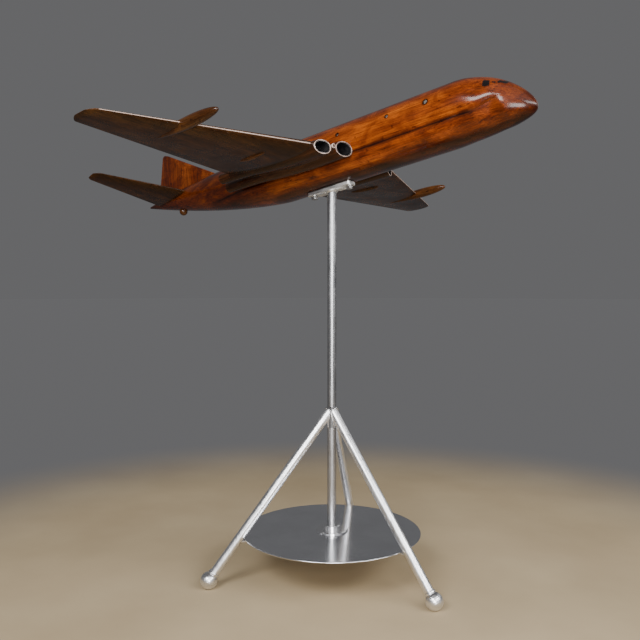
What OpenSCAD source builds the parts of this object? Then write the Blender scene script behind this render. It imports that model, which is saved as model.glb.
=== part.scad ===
// Four-jet airliner display model in varnished hardwood, on a swivelling aluminium tripod stand.
// X runs forward, Y to port and Z up. The floor is Z = 0, midway under the model.

/* [Tripod] */
// Outside diameter of the mast and leg tubes
tube_d = 25.4; // [20:0.1:30]
// Wall thickness of the tubes
tube_wall = 3.2; // [2:0.1:4]
// Height at which the leg centrelines meet the mast
apex_z = 477; // [440:1:520]
// Radius from the mast to the centre of each ball foot
foot_r = 351; // [330:1:380]
// Diameter of the ball feet
ball_d = 47; // [44:0.5:52]
// Depth of the flat ground under each ball foot
foot_flat = 0.8; // [0.4:0.1:2]
// Turn of the tripod about the mast, towards starboard
tripod_turn = 5.3; // [0:0.1:20]
// Outside diameter of the sleeve that the legs are welded to
sleeve_d = 31.8; // [31:0.1:36]

/* [Shelf and hub] */
// Diameter of the round shelf
disc_d = 504; // [490:1:506]
// Thickness of the shelf
disc_t = 3; // [2:0.5:4]
// Height of the middle of the shelf's thickness
disc_z = 126; // [125:0.5:128]
// Diameter of the flange round the mast foot
flange_d = 92; // [70:1:110]
// Thickness of that flange
flange_t = 5; // [3:0.5:8]
// Diameter of the collar on the flange
collar_d = 51; // [40:1:60]
// Height of the collar
collar_h = 13; // [8:1:20]
// Radial clearance between the mast and what it turns in
swivel_gap = 0.05; // [0.02:0.01:0.1]

/* [Aircraft on the mast] */
// Height of the aircraft's datum, its underside at the mast
datum_z = 1097; // [1060:1:1130]
// Distance of the mast ahead of the middle of the model's length
mast_x = 95; // [90:0.5:100]
// Nose-up angle of the fuselage
pitch = 10.1; // [0:0.1:14]
// Bank that lifts the starboard wing
bank = 3.9; // [0:0.1:5]

/* [Bracket] */
// Length of the bracket plate
plate_l = 149; // [142:1:156]
// Width of the bracket plate
plate_w = 32; // [30:1:38]
// Thickness of the bracket plate
plate_t = 8; // [6:0.5:10]
// Thickness of the packing between plate and fuselage
packing_t = 4; // [2:0.5:5]
// Distance between the two bolts
bolt_pitch = 123; // [118:1:124]
// Diameter of the bolts
bolt_d = 10; // [8:1:12]

/* [Fuselage] */
// Height of the fuselage
body_h = 158; // [150:1:165]
// Width of the fuselage over its height
body_ratio = 0.95; // [0.9:0.01:1]
// Distance of the nose tip ahead of the mast
nose_x = 606; // [600:1:620]
// Height of the nose tip above the underside
nose_z = 43; // [38:1:50]
// Distance of the tail tip behind the mast
tail_x = -769; // [-780:1:-760]
// Fall of the upper line at the tail tip
tail_drop = 28.5; // [20:0.5:34]
// Rise of the underside at the tail tip
tail_rise = 124; // [115:1:126]

/* [Wing] */
// Distance of each wing tip from the centreline
half_span = 718; // [700:1:740]
// Nominal wing thickness over its chord at the root
root_thickness = 0.12; // [0.1:0.01:0.13]
// Nominal wing thickness over its chord at the tip
tip_thickness = 0.1; // [0.08:0.01:0.12]
// Distance of the joint between engine block and wing from the centreline
joint_y = 190; // [188:1:196]
// Distance of the wing pods from the centreline
pod_y = 509; // [480:1:530]
// Greatest radius of the wing pods
pod_r = 14.5; // [12:0.5:17]

/* [Engines] */
// Width of the oval air intakes
intake_w = 44; // [38:1:46]
// Height of the inner air intakes
inner_intake_h = 36; // [32:1:37]
// Height of the outer air intakes
outer_intake_h = 32; // [28:1:34]
// Depth of the air intakes
intake_depth = 46; // [30:1:60]
// Radius of the jet pipes' mouths
pipe_r = 10.5; // [8:0.5:11]
// Depth of the jet pipes' mouths
pipe_depth = 30; // [20:1:40]

/* [Tail] */
// Distance of each tailplane tip from the centreline
tail_half_span = 298; // [280:1:310]
// Height of the fin's top above the underside
fin_top_z = 285; // [270:1:300]

/* [Hidden] */
$fn = 64;

WOOD = "sienna";
DARK_WOOD = "#4a2415";
METAL = "gainsboro";
BLACK = "#151515";

tube_r = tube_d / 2;
bore_r = tube_r + swivel_gap;
ball_z = ball_d / 2 - foot_flat;
leg_lean = atan2(foot_r, apex_z - ball_z);
leg_l = norm([foot_r, apex_z - ball_z]);
leg_angles = [-tripod_turn, 120 - tripod_turn, 240 - tripod_turn];
leg_seat = 12;
seat_gap = 0.02;
neck_low = 19;
neck_high = 26;
sleeve_top = 482;
sleeve_bottom = 424;
disc_top = disc_z + disc_t / 2;
disc_bottom = disc_z - disc_t / 2;
washer_t = 2;
plug_lip = 2;
mast_bottom = disc_top + washer_t + plug_lip;
seat_z = 2;
plate_z = seat_z - packing_t - plate_t;
plate_x0 = -78;
bolt_x0 = -64;
weld_h = 6;
washer_h = 2;
tab_l = 26;
tab_w = 18;
tab_t = 3;
plug_h = 24;
head_h = 7.5;
head_flats = 17;
gusset_t = 4;
gusset_w = 22;
insert_r = 8;
insert_h = 30;
bolt_l = 41;
bolt_clearance = 0.5;
dowel_r = 6;
small_dowel_r = 3;
fit = 0.04;
far = 200;

// ---------------------------------------------------------------- helpers

function mix(a, b, t) = a + (b - a) * t;
function clamp01(t) = min(1, max(0, t));
function smooth(t) = t * t * (3 - 2 * t);
// How far x has gone from a curve's start to its end, from 0 to 1
function part_of(x, start, end) = clamp01((x - start) / (end - start));

// Skins a list of rings of points, all of one length, into a closed solid
module loft(rings) {
    n = len(rings[0]);
    m = len(rings);
    points = [for (ring = rings) each ring];
    // The two halves of a ring split their quads opposite ways, so a symmetric ring gives a symmetric solid
    side = [for (i = [0:m - 2]) for (j = [0:n - 1])
        let (a = i * n + j, b = i * n + (j + 1) % n)
        each (j < n / 2 ? [[a, b, b + n], [a, b + n, a + n]] : [[a, b, a + n], [b, b + n, a + n]])];
    end = (m - 1) * n;
    first = [for (j = [1:n - 2]) [0, j + 1, j]];
    last = [for (j = [1:n - 2]) [end, end + j, end + j + 1]];
    polyhedron(points, concat(side, first, last));
}

// Carries a shape from the aircraft's own axes to its place on the mast
module on_mast() translate([mast_x, 0, datum_z]) rotate([-bank, -pitch, 0]) children();

// Copies a port-side shape to starboard
module to_starboard() mirror([0, 1, 0]) children();

// Turns a shape built along +Z so that it runs from p towards q
module along(p, q) {
    d = q - p;
    translate(p) rotate([0, acos(d.z / norm(d)), atan2(d.y, d.x)]) children();
}

// ---------------------------------------------------------------- tripod

// Leg axes start at the ball's centre and end on the mast's axis
module leg_place(angle) {
    translate([mast_x, 0, 0]) rotate([0, 0, angle]) translate([foot_r, 0, ball_z])
        rotate([0, -leg_lean, 0]) children();
}

module leg(angle) color(METAL) difference() {
    leg_place(angle) translate([0, 0, leg_seat]) cylinder(h = leg_l - leg_seat, r = tube_r);
    leg_place(angle) translate([0, 0, leg_seat - 1]) cylinder(h = leg_l, r = tube_r - tube_wall);
    translate([mast_x, 0, apex_z - far / 2]) cylinder(h = far, r = sleeve_d / 2);
}

module foot(angle) color(METAL) difference() {
    leg_place(angle) sphere(d = ball_d);
    leg_place(angle) translate([0, 0, leg_seat]) cylinder(h = ball_d, r = tube_r + seat_gap);
    translate([mast_x, 0, -ball_d]) cylinder(h = ball_d, r = foot_r + ball_d);
}

module neck_ring(angle) color(METAL) leg_place(angle) difference() {
    rotate_extrude() polygon([[tube_r + seat_gap, neck_low], [tube_r + 2.2, neck_low],
        [tube_r + 2.8, neck_low + 1.5], [tube_r + 2.8, neck_high - 2], [tube_r + 1.6, neck_high],
        [tube_r + seat_gap, neck_high]]);
    sphere(d = ball_d + 0.02);
}

module leg_front() leg(leg_angles[0]);
module leg_port() leg(leg_angles[1]);
module leg_starboard() leg(leg_angles[2]);
module foot_front() foot(leg_angles[0]);
module foot_port() foot(leg_angles[1]);
module foot_starboard() foot(leg_angles[2]);
module neck_ring_front() neck_ring(leg_angles[0]);
module neck_ring_port() neck_ring(leg_angles[1]);
module neck_ring_starboard() neck_ring(leg_angles[2]);

// The legs are welded to this sleeve and the mast turns in its bore
module apex_sleeve() color(METAL) translate([mast_x, 0, 0]) rotate_extrude() {
    polygon([[bore_r, sleeve_bottom], [sleeve_d / 2, sleeve_bottom], [sleeve_d / 2, sleeve_top - 2],
             [sleeve_d / 2 - 2, sleeve_top], [bore_r, sleeve_top]]);
}

// ---------------------------------------------------------------- shelf and hub

module shelf_disc() color(METAL) translate([mast_x, 0, disc_z]) rotate_extrude() {
    translate([0, -disc_t / 2]) square([disc_d / 2 - disc_t / 2, disc_t]);
    translate([disc_d / 2 - disc_t / 2, 0]) circle(d = disc_t);
}

// One small tab on each leg carries the shelf's edge
module shelf_tabs() color(METAL) for (angle = leg_angles) difference() {
    translate([mast_x, 0, 0]) rotate([0, 0, angle])
        translate([disc_d / 2 - tab_l / 2 - 1, -tab_w / 2, disc_bottom - tab_t]) cube([tab_l, tab_w, tab_t]);
    leg_place(angle) cylinder(h = leg_l, r = tube_r);
}

module hub_flange() color(METAL) translate([mast_x, 0, disc_top]) rotate_extrude() {
    polygon([[bore_r, 0], [flange_d / 2, 0], [flange_d / 2, flange_t - 2], [flange_d / 2 - 2, flange_t],
             [bore_r, flange_t]]);
}

module hub_collar() color(METAL) translate([mast_x, 0, disc_top + flange_t]) rotate_extrude() {
    polygon([[bore_r, 0], [collar_d / 2, 0], [collar_d / 2, collar_h - 1.5],
             [collar_d / 2 - 1.5, collar_h], [bore_r, collar_h]]);
}

module thrust_washer() color("tan") translate([mast_x, 0, disc_top])
    cylinder(h = washer_t - swivel_gap, r = tube_r - 0.5);

// ---------------------------------------------------------------- mast and bracket

// Everything above the bracket plate's underside, in the aircraft's axes
module above_plate(size) translate([-size / 2, -size / 2, plate_z]) cube([size, size, size]);

module mast_tube() color(METAL) difference() {
    translate([mast_x, 0, mast_bottom]) cylinder(h = datum_z - mast_bottom, r = tube_r);
    translate([mast_x, 0, mast_bottom - 1]) cylinder(h = datum_z, r = tube_r - tube_wall);
    on_mast() above_plate(plate_l / 2);
}

module mast_foot_plug() color(METAL) translate([mast_x, 0, mast_bottom - plug_lip]) {
    cylinder(h = plug_lip, r = tube_r);
    cylinder(h = plug_h, r = tube_r - tube_wall - seat_gap);
}

// The weld bead between the mast's top and the bracket plate
module mast_head_weld() color(METAL) difference() {
    on_mast() translate([-weld_h * tan(pitch), 0, plate_z - weld_h]) rotate_extrude()
        polygon([[0, 0], [tube_r + 1.5, 0], [tube_r + 4, weld_h * 0.4], [tube_r + weld_h, weld_h],
                 [0, weld_h]]);
    translate([mast_x, 0, datum_z - far / 2]) cylinder(h = far, r = tube_r);
}

// An upright bolt hole or shank at each bolt
module at_bolts() for (x = [bolt_x0, bolt_x0 + bolt_pitch]) translate([x, 0, 0]) children();

// A plate with rounded corners, its low face at z
module rounded_plate(length, width, height, corner) linear_extrude(height) {
    for (x = [corner, length - corner]) for (y = [corner - width / 2, width / 2 - corner])
        translate([x, y]) circle(corner);
    translate([corner, -width / 2]) square([length - 2 * corner, width]);
    translate([0, corner - width / 2]) square([length, width - 2 * corner]);
}

module bracket_plate() color(METAL) on_mast() difference() {
    translate([plate_x0, 0, plate_z]) rounded_plate(plate_l, plate_w, plate_t, 8);
    at_bolts() translate([0, 0, plate_z - 1]) cylinder(h = plate_t + 2, r = bolt_d / 2 + bolt_clearance);
}

module packing_plate() color(METAL) on_mast() difference() {
    translate([plate_x0 + 2, 0, plate_z + plate_t]) rounded_plate(plate_l - 4, plate_w - 4, packing_t, 7);
    at_bolts() translate([0, 0, plate_z]) cylinder(h = far, r = bolt_d / 2 + bolt_clearance);
}

// Two doubling bars under the plate, ahead of the mast and behind it
module bracket_gussets() color(METAL) on_mast() for (span = [[-50, -21.5], [19, 41]])
    translate([span[0], -gusset_w / 2, plate_z - gusset_t]) cube([span[1] - span[0], gusset_w, gusset_t]);

module bracket_washers() color(METAL) on_mast() at_bolts() difference() {
    translate([0, 0, plate_z - washer_h]) cylinder(h = washer_h, r = bolt_d);
    translate([0, 0, plate_z - washer_h - 1]) cylinder(h = washer_h + 2, r = bolt_d / 2 + bolt_clearance);
}

module bracket_bolts() color(METAL) on_mast() at_bolts() {
    translate([0, 0, plate_z - washer_h - head_h]) cylinder(h = head_h, d = head_flats / cos(30), $fn = 6);
    translate([0, 0, plate_z - washer_h - 1]) cylinder(h = bolt_l + 1, d = bolt_d);
}

module fuselage_inserts() color("goldenrod") on_mast() at_bolts() difference() {
    translate([0, 0, seat_z]) cylinder(h = insert_h, r = insert_r);
    translate([0, 0, seat_z - 1]) cylinder(h = insert_h + 2, r = bolt_d / 2 + fit);
}

// ---------------------------------------------------------------- fuselage

// Where the nose and tail curves begin
nose_top_x = 418;
nose_low_x = 375;
tail_top_x = -400;
tail_low_x = -163;

function top_line(x) = nose_z
    + (body_h - nose_z) * pow(1 - pow(part_of(x, nose_top_x, nose_x), 1.92), 0.725)
    - tail_drop * pow(part_of(x, tail_top_x, tail_x), 1.7);
function low_line(x) = nose_z
    - nose_z * pow(1 - pow(part_of(x, nose_low_x, nose_x), 2), 0.33)
    + tail_rise * pow(part_of(x, tail_low_x, tail_x), 1.455);
function half_width(x) = body_ratio * (top_line(x) - low_line(x)) / 2;

// The section is two lobes, a wide one over a narrow one, that meet in a crease.
// Heights are parts of the section's height, and widths are parts of its half width.
upper_c = 0.557;
upper_h = 0.443;
lower_c = 0.278;
lower_w = 0.9;
crease = 0.33;
upper_start = -asin((upper_c - crease) / upper_h);
lower_end = asin((crease - lower_c) / lower_c);
lower_steps = 5;
upper_steps = 9;

// Points [width, height] up one side of the section, from the keel to the crown
half_section = concat(
    [for (i = [0:lower_steps]) let (a = mix(-90, lower_end, i / lower_steps))
        [lower_w * cos(a), lower_c + lower_c * sin(a)]],
    [for (i = [1:upper_steps]) let (a = mix(upper_start, 90, i / upper_steps))
        [cos(a), upper_c + upper_h * sin(a)]]);

// The lobes fade into a plain ellipse at the nose and the tail
function lobe_fade(x) = smooth(max(part_of(x, 470, 545), part_of(x, -150, -400)));
function half_at(p, fade) = mix(p[0], sqrt(max(0, 1 - pow(2 * p[1] - 1, 2))), fade);

// A point of the section at x, on the side given by the sign
function body_point(x, p, sign) =
    [x, sign * half_width(x) * half_at(p, lobe_fade(x)), mix(low_line(x), top_line(x), p[1])];

function body_ring(x) = concat(
    [for (p = half_section) body_point(x, p, -1)],
    [for (i = [len(half_section) - 2:-1:1]) body_point(x, half_section[i], 1)]);

tail_steps = 14;
nose_steps = 16;
body_stations = concat(
    [for (i = [0:tail_steps]) mix(tail_x, -150, i / tail_steps)],
    [0, 180, 340],
    [for (i = [0:nose_steps]) mix(nose_x - 0.3, 380, pow(1 - i / nose_steps, 2))]);

module body_solid() loft([for (x = body_stations) body_ring(x)]);

// Recessed screws along the starboard flank: distance ahead of the mast, and depth of the head
flank_holes = [[356, 2], [242, 6], [85, 7]];
flank_z = 110;
flank_y = 71.5;
screw_d = 4.5;
screw_head_d = 9;
screw_head_h = 2.5;
screw_l = 30;

module flank_screws() color("silver") on_mast() for (hole = flank_holes)
    translate([hole[0], hole[1] - flank_y, flank_z]) rotate([-90, 0, 0]) {
        difference() {
            cylinder(h = screw_head_h, d = screw_head_d);
            translate([-screw_head_d, -0.6, -1]) cube([2 * screw_head_d, 1.2, 2]);
        }
        cylinder(h = screw_l, d = screw_d);
    }

module fuselage() color(WOOD) on_mast() difference() {
    body_solid();
    translate([plate_x0 - 1, -plate_w / 2 - 1, seat_z - far]) cube([plate_l + 2, plate_w + 2, far]);
    at_bolts() cylinder(h = seat_z + insert_h, r = insert_r);
    at_bolts() cylinder(h = seat_z + bolt_l, d = bolt_d + bolt_clearance);
    for (hole = flank_holes) translate([hole[0], hole[1] - flank_y, flank_z]) rotate([-90, 0, 0]) {
        translate([0, 0, -far]) cylinder(h = far + screw_head_h, d = screw_head_d + 1);
        cylinder(h = screw_l, d = screw_d);
    }
    wing_dowel_bores();
    to_starboard() wing_dowel_bores();
    tailplane_dowel_bores();
    fin_dowel_bores();
    bumper_solid(fit);
}

// ---------------------------------------------------------------- wings

// Edges of the port wing's plan and the height of its chord, straight from root to tip
root_y = 80;
root_le = [121, 57];
root_te = [-238, 67];
tip_le = [-93, 76];
tip_te = [-171, 76];
tip_round = 22;

function wing_t(y) = (y - root_y) / (half_span - root_y);
function tip_u(y) = part_of(y, half_span - tip_round, half_span);
function wing_le(y) = mix(root_le, tip_le, wing_t(y)) - [16 * pow(tip_u(y), 2), 0];
function wing_te(y) = mix(root_te, tip_te, wing_t(y)) + [24 * pow(tip_u(y), 2), 0];
function wing_thick(y) =
    mix(root_thickness, tip_thickness, clamp01(wing_t(y))) * (1 - 0.75 * pow(tip_u(y), 3));

// Half thickness of a round-nosed section with a sharp tail, at part c of its chord
function foil(c) =
    5 * (0.2969 * sqrt(c) - 0.126 * c - 0.3516 * c * c + 0.2843 * pow(c, 3) - 0.1036 * pow(c, 4));

foil_steps = 20;
upper_share = 1.1;
lower_share = 0.9;

// A ring of points [chord part, height over chord] round the section
function foil_ring(thick) = [for (i = [0:foil_steps - 1])
    let (a = 360 * i / foil_steps, c = (1 - cos(a)) / 2)
    [c, thick * foil(c) * (a < 180 ? upper_share : -lower_share)]];

function wing_ring(y) = let (le = wing_le(y), te = wing_te(y), chord = le[0] - te[0])
    [for (p = foil_ring(wing_thick(y)))
        [mix(le[0], te[0], p[0]), y, mix(le[1], te[1], p[0]) + p[1] * chord]];

wing_stations = [joint_y, 260, 340, 420, 500, 580, 650,
    each [for (i = [0:4]) half_span - tip_round * (1 - sin(90 * i / 4))]];

// The pod is a body of revolution, blunt ahead and fine behind
pod_nose = [84, pod_y + 2, 69];
pod_tail = [-144, pod_y - 2, 69];
pod_l = norm(pod_nose - pod_tail);
function pod_radius(s) = pod_r * pow(sin(180 * pow(s, 0.72)), 0.62);

// Growing the pod by a small part leaves a gap round it
module pod_solid(growth = 0) along(pod_nose, pod_tail) rotate_extrude($fn = 48)
    polygon([for (i = [0:20]) let (s = pow(i / 20, 1.4)) [pod_radius(s) * (1 + growth), s * pod_l],
             [0, 0]]);

dowel_places = [[35, 76, 60], [-130, 76, 62], [30, joint_y, 62], [-110, joint_y, 66]];
dowel_l = 56;

module wing_dowel_solids(r) for (p = dowel_places)
    translate([p[0], p[1] - dowel_l / 2, p[2]]) rotate([-90, 0, 0]) cylinder(h = dowel_l, r = r, $fn = 32);
module wing_dowel_bores() wing_dowel_solids(dowel_r + fit);

// Booleans between skinned shapes are settled as meshes, and true bores are cut afterwards
module settled() resize([0, 0, 0]) union() children();

module port_wing_solid() difference() {
    settled() difference() {
        loft([for (y = wing_stations) wing_ring(y)]);
        pod_solid(0.006);
    }
    wing_dowel_bores();
}

// The slim fairing under each wing
fairing_nose = [-10, 259, 50];
fairing_tail = [-110, 249, 56.5];
fairing_r = 8;
fairing_l = norm(fairing_tail - fairing_nose);
module wing_fairing_solid() settled() difference() {
    along(fairing_nose, fairing_tail) rotate_extrude($fn = 24)
        polygon([for (i = [0:16]) [fairing_r * sin(180 * i / 16), fairing_l * (1 - cos(180 * i / 16)) / 2]]);
    loft([for (y = [joint_y, 260, 340]) wing_ring(y)]);
}

module port_wing() color(DARK_WOOD) on_mast() port_wing_solid();
module starboard_wing() color(DARK_WOOD) on_mast() to_starboard() port_wing_solid();
module port_wing_pod() color(WOOD) on_mast() pod_solid();
module starboard_wing_pod() color(WOOD) on_mast() to_starboard() pod_solid();
module port_wing_fairing() color(WOOD) on_mast() wing_fairing_solid();
module starboard_wing_fairing() color(WOOD) on_mast() to_starboard() wing_fairing_solid();
module port_wing_dowels() color("tan") on_mast() wing_dowel_solids(dowel_r);
module starboard_wing_dowels() color("tan") on_mast() to_starboard() wing_dowel_solids(dowel_r);

// ---------------------------------------------------------------- engines

// Each engine is a long bulge in the wing root: its intake end, and its jet pipe end
inner_front = [118, 92.5, 56];
inner_rear = [-303, 95, 61];
outer_front = [97, 156, 55];
outer_rear = [-276, 148, 70];
lip = 3;
intake_lead = 15;
pipe_lead = 5;
liner_wall = 1.5;
liner_floor = 4;
le_slope = (root_le[0] - tip_le[0]) / (half_span - root_y);

// Half width or half height of an engine bulge at part s of its length, from its value at the mouth
function bulge_half(mouth, s) =
    mix(mouth, pipe_r + 1, smooth(part_of(s, 0.2, 1))) + lip + 4 * sin(180 * part_of(s, 0, 0.7));

// Section of an engine bulge at part s of its length. Its mouth is swept like the leading edge.
function bulge_ring(front, rear, h, s) =
    let (p = mix(front, rear, s), wide = bulge_half(intake_w / 2, s), high = bulge_half(h / 2, s),
         sweep = le_slope * (1 - smooth(part_of(s, 0, 0.5))))
    [for (j = [0:31]) let (a = 360 * j / 32)
        [p.x - sweep * wide * cos(a), p.y + wide * cos(a), p.z + high * sin(a)]];

module engine_bulge(front, rear, h) loft([for (i = [0:12]) bulge_ring(front, rear, h, i / 12)]);

// An oval bore, wider than high, from well ahead of the mouth to its depth
module oval_bore(w, h, depth) translate([0, 0, -intake_lead]) linear_extrude(depth + intake_lead) {
    for (s = [-1, 1]) translate([0, s * (w - h) / 2]) circle(d = h);
    square([h, w - h], center = true);
}

module pipe_bore(front, rear) along(rear, front)
    translate([0, 0, -pipe_lead]) cylinder(h = pipe_depth + pipe_lead, r = pipe_r);

module port_block_solid() difference() {
    settled() difference() {
        union() {
            loft([for (y = [40, 100, 150, joint_y]) wing_ring(y)]);
            engine_bulge(inner_front, inner_rear, inner_intake_h);
            engine_bulge(outer_front, outer_rear, outer_intake_h);
            translate(ram_place) rotate([0, 90, 0]) cylinder(h = ram_l, r = ram_r + ram_wall, $fn = 24);
        }
        body_solid();
    }
    along(inner_front, inner_rear) oval_bore(intake_w, inner_intake_h, intake_depth);
    along(outer_front, outer_rear) oval_bore(intake_w, outer_intake_h, intake_depth);
    pipe_bore(inner_front, inner_rear);
    pipe_bore(outer_front, outer_rear);
    translate(ram_place) rotate([0, 90, 0]) cylinder(h = far, r = ram_r);
    wing_dowel_bores();
}

// The floor of the small round intake between the two engines
ram_place = [90, 123.5, 61];
ram_l = 19.5;
ram_r = 4.3;
ram_wall = 2;

// A blind liner for an intake, trimmed just inside the swept mouth
module intake_liner(front, rear, h) difference() {
    along(front, rear) oval_bore(intake_w - 2 * seat_gap, h - 2 * seat_gap, intake_depth);
    along(front, rear) translate([0, 0, -1])
        oval_bore(intake_w - 2 * liner_wall, h - 2 * liner_wall, intake_depth - liner_floor + 1);
    translate(front) rotate([0, 0, atan(le_slope)]) translate([-1, -far / 2, -far / 2]) cube(far);
}

// A blind liner for a jet pipe, set just inside the bulge's rear end
module pipe_liner(front, rear) along(rear, front) difference() {
    translate([0, 0, 1]) cylinder(h = pipe_depth - 1, r = pipe_r - seat_gap);
    cylinder(h = pipe_depth - liner_floor, r = pipe_r - liner_wall);
}

module port_inner_liner() intake_liner(inner_front, inner_rear, inner_intake_h);
module port_outer_liner() intake_liner(outer_front, outer_rear, outer_intake_h);
module port_pipe_solids() {
    pipe_liner(inner_front, inner_rear);
    pipe_liner(outer_front, outer_rear);
}

module port_engine_block() color(DARK_WOOD) on_mast() port_block_solid();
module starboard_engine_block() color(DARK_WOOD) on_mast() to_starboard() port_block_solid();
module port_inner_intake() color(BLACK) on_mast() port_inner_liner();
module port_outer_intake() color(BLACK) on_mast() port_outer_liner();
module starboard_inner_intake() color(BLACK) on_mast() to_starboard() port_inner_liner();
module starboard_outer_intake() color(BLACK) on_mast() to_starboard() port_outer_liner();
module port_jet_pipes() color(BLACK) on_mast() port_pipe_solids();
module starboard_jet_pipes() color(BLACK) on_mast() to_starboard() port_pipe_solids();

// ---------------------------------------------------------------- tail

// Edges of the port tailplane at its root and tip
tail_root_y = 45;
tail_root_le = [-556, 127];
tail_root_te = [-706, 121];
tail_tip_le = [-657, 167];
tail_tip_te = [-704, 161];
tail_tip_round = 18;

function tail_t(y) = (y - tail_root_y) / (tail_half_span - tail_root_y);
function tail_tip_u(y) = part_of(y, tail_half_span - tail_tip_round, tail_half_span);
function tail_le(y) = mix(tail_root_le, tail_tip_le, tail_t(y)) - [14 * pow(tail_tip_u(y), 2), 0];
function tail_te(y) = mix(tail_root_te, tail_tip_te, tail_t(y)) + [10 * pow(tail_tip_u(y), 2), 0];

function tail_ring(y) = let (le = tail_le(y), te = tail_te(y), chord = le[0] - te[0])
    [for (p = foil_ring(0.11 * (1 - 0.75 * pow(tail_tip_u(y), 3))))
        [mix(le[0], te[0], p[0]), y, mix(le[1], te[1], p[0]) + p[1] * chord]];

tail_stations = [8, 90, 160, 230,
    each [for (i = [0:3]) tail_half_span - tail_tip_round * (1 - sin(90 * i / 3))]];

module tailplane_solid() difference() {
    settled() difference() {
        loft([for (y = tail_stations) tail_ring(y)]);
        body_solid();
    }
    tailplane_dowel_bores();
}

tail_dowel_l = 124;
module tailplane_dowel_solids(r) for (x = [-610, -668])
    translate([x, -tail_dowel_l / 2, 126]) rotate([-90, 0, 0]) cylinder(h = tail_dowel_l, r = r, $fn = 32);
module tailplane_dowel_bores() tailplane_dowel_solids(small_dowel_r + fit);

// The fin leans back steeply at the front and slightly forward at the back
fin_root_z = 150;
fin_tip_z = 280;
fin_le = [-425, -662];
fin_te = [-718, -689];
fin_round = 8;
fin_root_thickness = 0.055;
fin_tip_thickness = 0.14;
function fin_t(z) = (z - fin_root_z) / (fin_tip_z - fin_root_z);
function fin_tip_u(z) = part_of(z, fin_top_z - fin_round, fin_top_z);
function fin_thick(z) =
    mix(fin_root_thickness, fin_tip_thickness, clamp01(fin_t(z))) * (1 - 0.6 * pow(fin_tip_u(z), 3));
function fin_ring(z) = let (le = mix(fin_le[0], fin_le[1], fin_t(z)) - 6 * pow(fin_tip_u(z), 2),
                            te = mix(fin_te[0], fin_te[1], fin_t(z)) + 5 * pow(fin_tip_u(z), 2))
    [for (i = [0:foil_steps - 1])
        let (a = 360 * i / foil_steps, c = (1 - cos(a)) / 2)
        [mix(le, te, c), (le - te) * fin_thick(z) * foil(c) * (a < 180 ? -1 : 1), z]];

fin_stations = [fin_root_z - 26, fin_root_z, 180, 210, 240, 262,
    each [for (i = [0:3]) fin_top_z - fin_round * (1 - sin(90 * i / 3))]];

module fin() color(WOOD) on_mast() difference() {
    settled() difference() {
        loft([for (z = fin_stations) fin_ring(z)]);
        body_solid();
    }
    fin_dowel_bores();
}

fin_dowel_l = 70;
module fin_dowel_solids(r) for (x = [-560, -640])
    translate([x, 0, fin_root_z - fin_dowel_l / 2]) cylinder(h = fin_dowel_l, r = r, $fn = 32);
module fin_dowel_bores() fin_dowel_solids(small_dowel_r + fit);

bumper = [-608, 0, 76];
bumper_r = 13;
peg_r = 4;
peg_l = 34;
module bumper_solid(gap) translate(bumper) {
    sphere(r = bumper_r + gap);
    cylinder(h = peg_l, r = peg_r + gap);
}

module port_tailplane() color(DARK_WOOD) on_mast() tailplane_solid();
module starboard_tailplane() color(DARK_WOOD) on_mast() to_starboard() tailplane_solid();
module tailplane_dowels() color("tan") on_mast() tailplane_dowel_solids(small_dowel_r);
module fin_dowels() color("tan") on_mast() fin_dowel_solids(small_dowel_r);
module tail_bumper() color(WOOD) on_mast() bumper_solid(0);

leg_front();
leg_port();
leg_starboard();
foot_front();
foot_port();
foot_starboard();
neck_ring_front();
neck_ring_port();
neck_ring_starboard();
apex_sleeve();
shelf_disc();
shelf_tabs();
hub_flange();
hub_collar();
thrust_washer();
mast_tube();
mast_foot_plug();
mast_head_weld();
bracket_plate();
bracket_gussets();
packing_plate();
bracket_bolts();
bracket_washers();
fuselage_inserts();
fuselage();
flank_screws();
starboard_engine_block();
port_engine_block();
starboard_inner_intake();
starboard_outer_intake();
port_inner_intake();
port_outer_intake();
starboard_jet_pipes();
port_jet_pipes();
starboard_wing();
port_wing();
starboard_wing_pod();
port_wing_pod();
starboard_wing_fairing();
port_wing_fairing();
starboard_wing_dowels();
port_wing_dowels();
starboard_tailplane();
port_tailplane();
tailplane_dowels();
fin();
fin_dowels();
tail_bumper();
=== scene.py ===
"""Looks of the hardwood airliner model on its aluminium tripod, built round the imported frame."""
import math
import bmesh
import bpy
from mathutils import Matrix, Vector


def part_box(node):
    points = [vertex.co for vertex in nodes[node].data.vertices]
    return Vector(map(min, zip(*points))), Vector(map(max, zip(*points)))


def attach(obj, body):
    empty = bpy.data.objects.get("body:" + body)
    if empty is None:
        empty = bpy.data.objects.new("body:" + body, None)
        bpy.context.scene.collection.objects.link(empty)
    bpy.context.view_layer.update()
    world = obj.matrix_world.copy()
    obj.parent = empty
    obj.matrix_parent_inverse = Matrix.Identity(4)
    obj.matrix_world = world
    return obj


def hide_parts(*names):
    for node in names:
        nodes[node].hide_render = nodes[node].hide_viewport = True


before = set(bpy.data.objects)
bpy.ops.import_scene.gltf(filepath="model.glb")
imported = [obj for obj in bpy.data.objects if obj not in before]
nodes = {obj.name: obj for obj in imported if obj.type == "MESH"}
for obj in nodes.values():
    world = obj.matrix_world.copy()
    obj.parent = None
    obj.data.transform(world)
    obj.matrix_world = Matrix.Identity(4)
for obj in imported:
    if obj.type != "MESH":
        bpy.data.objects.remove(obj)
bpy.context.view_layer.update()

STAND = "stand"
AIRCRAFT = "mast_and_aircraft"
MM = 0.001


def middle(node):
    """The centre of a CAD node's box."""
    low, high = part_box(node)
    return (low + high) / 2


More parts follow.
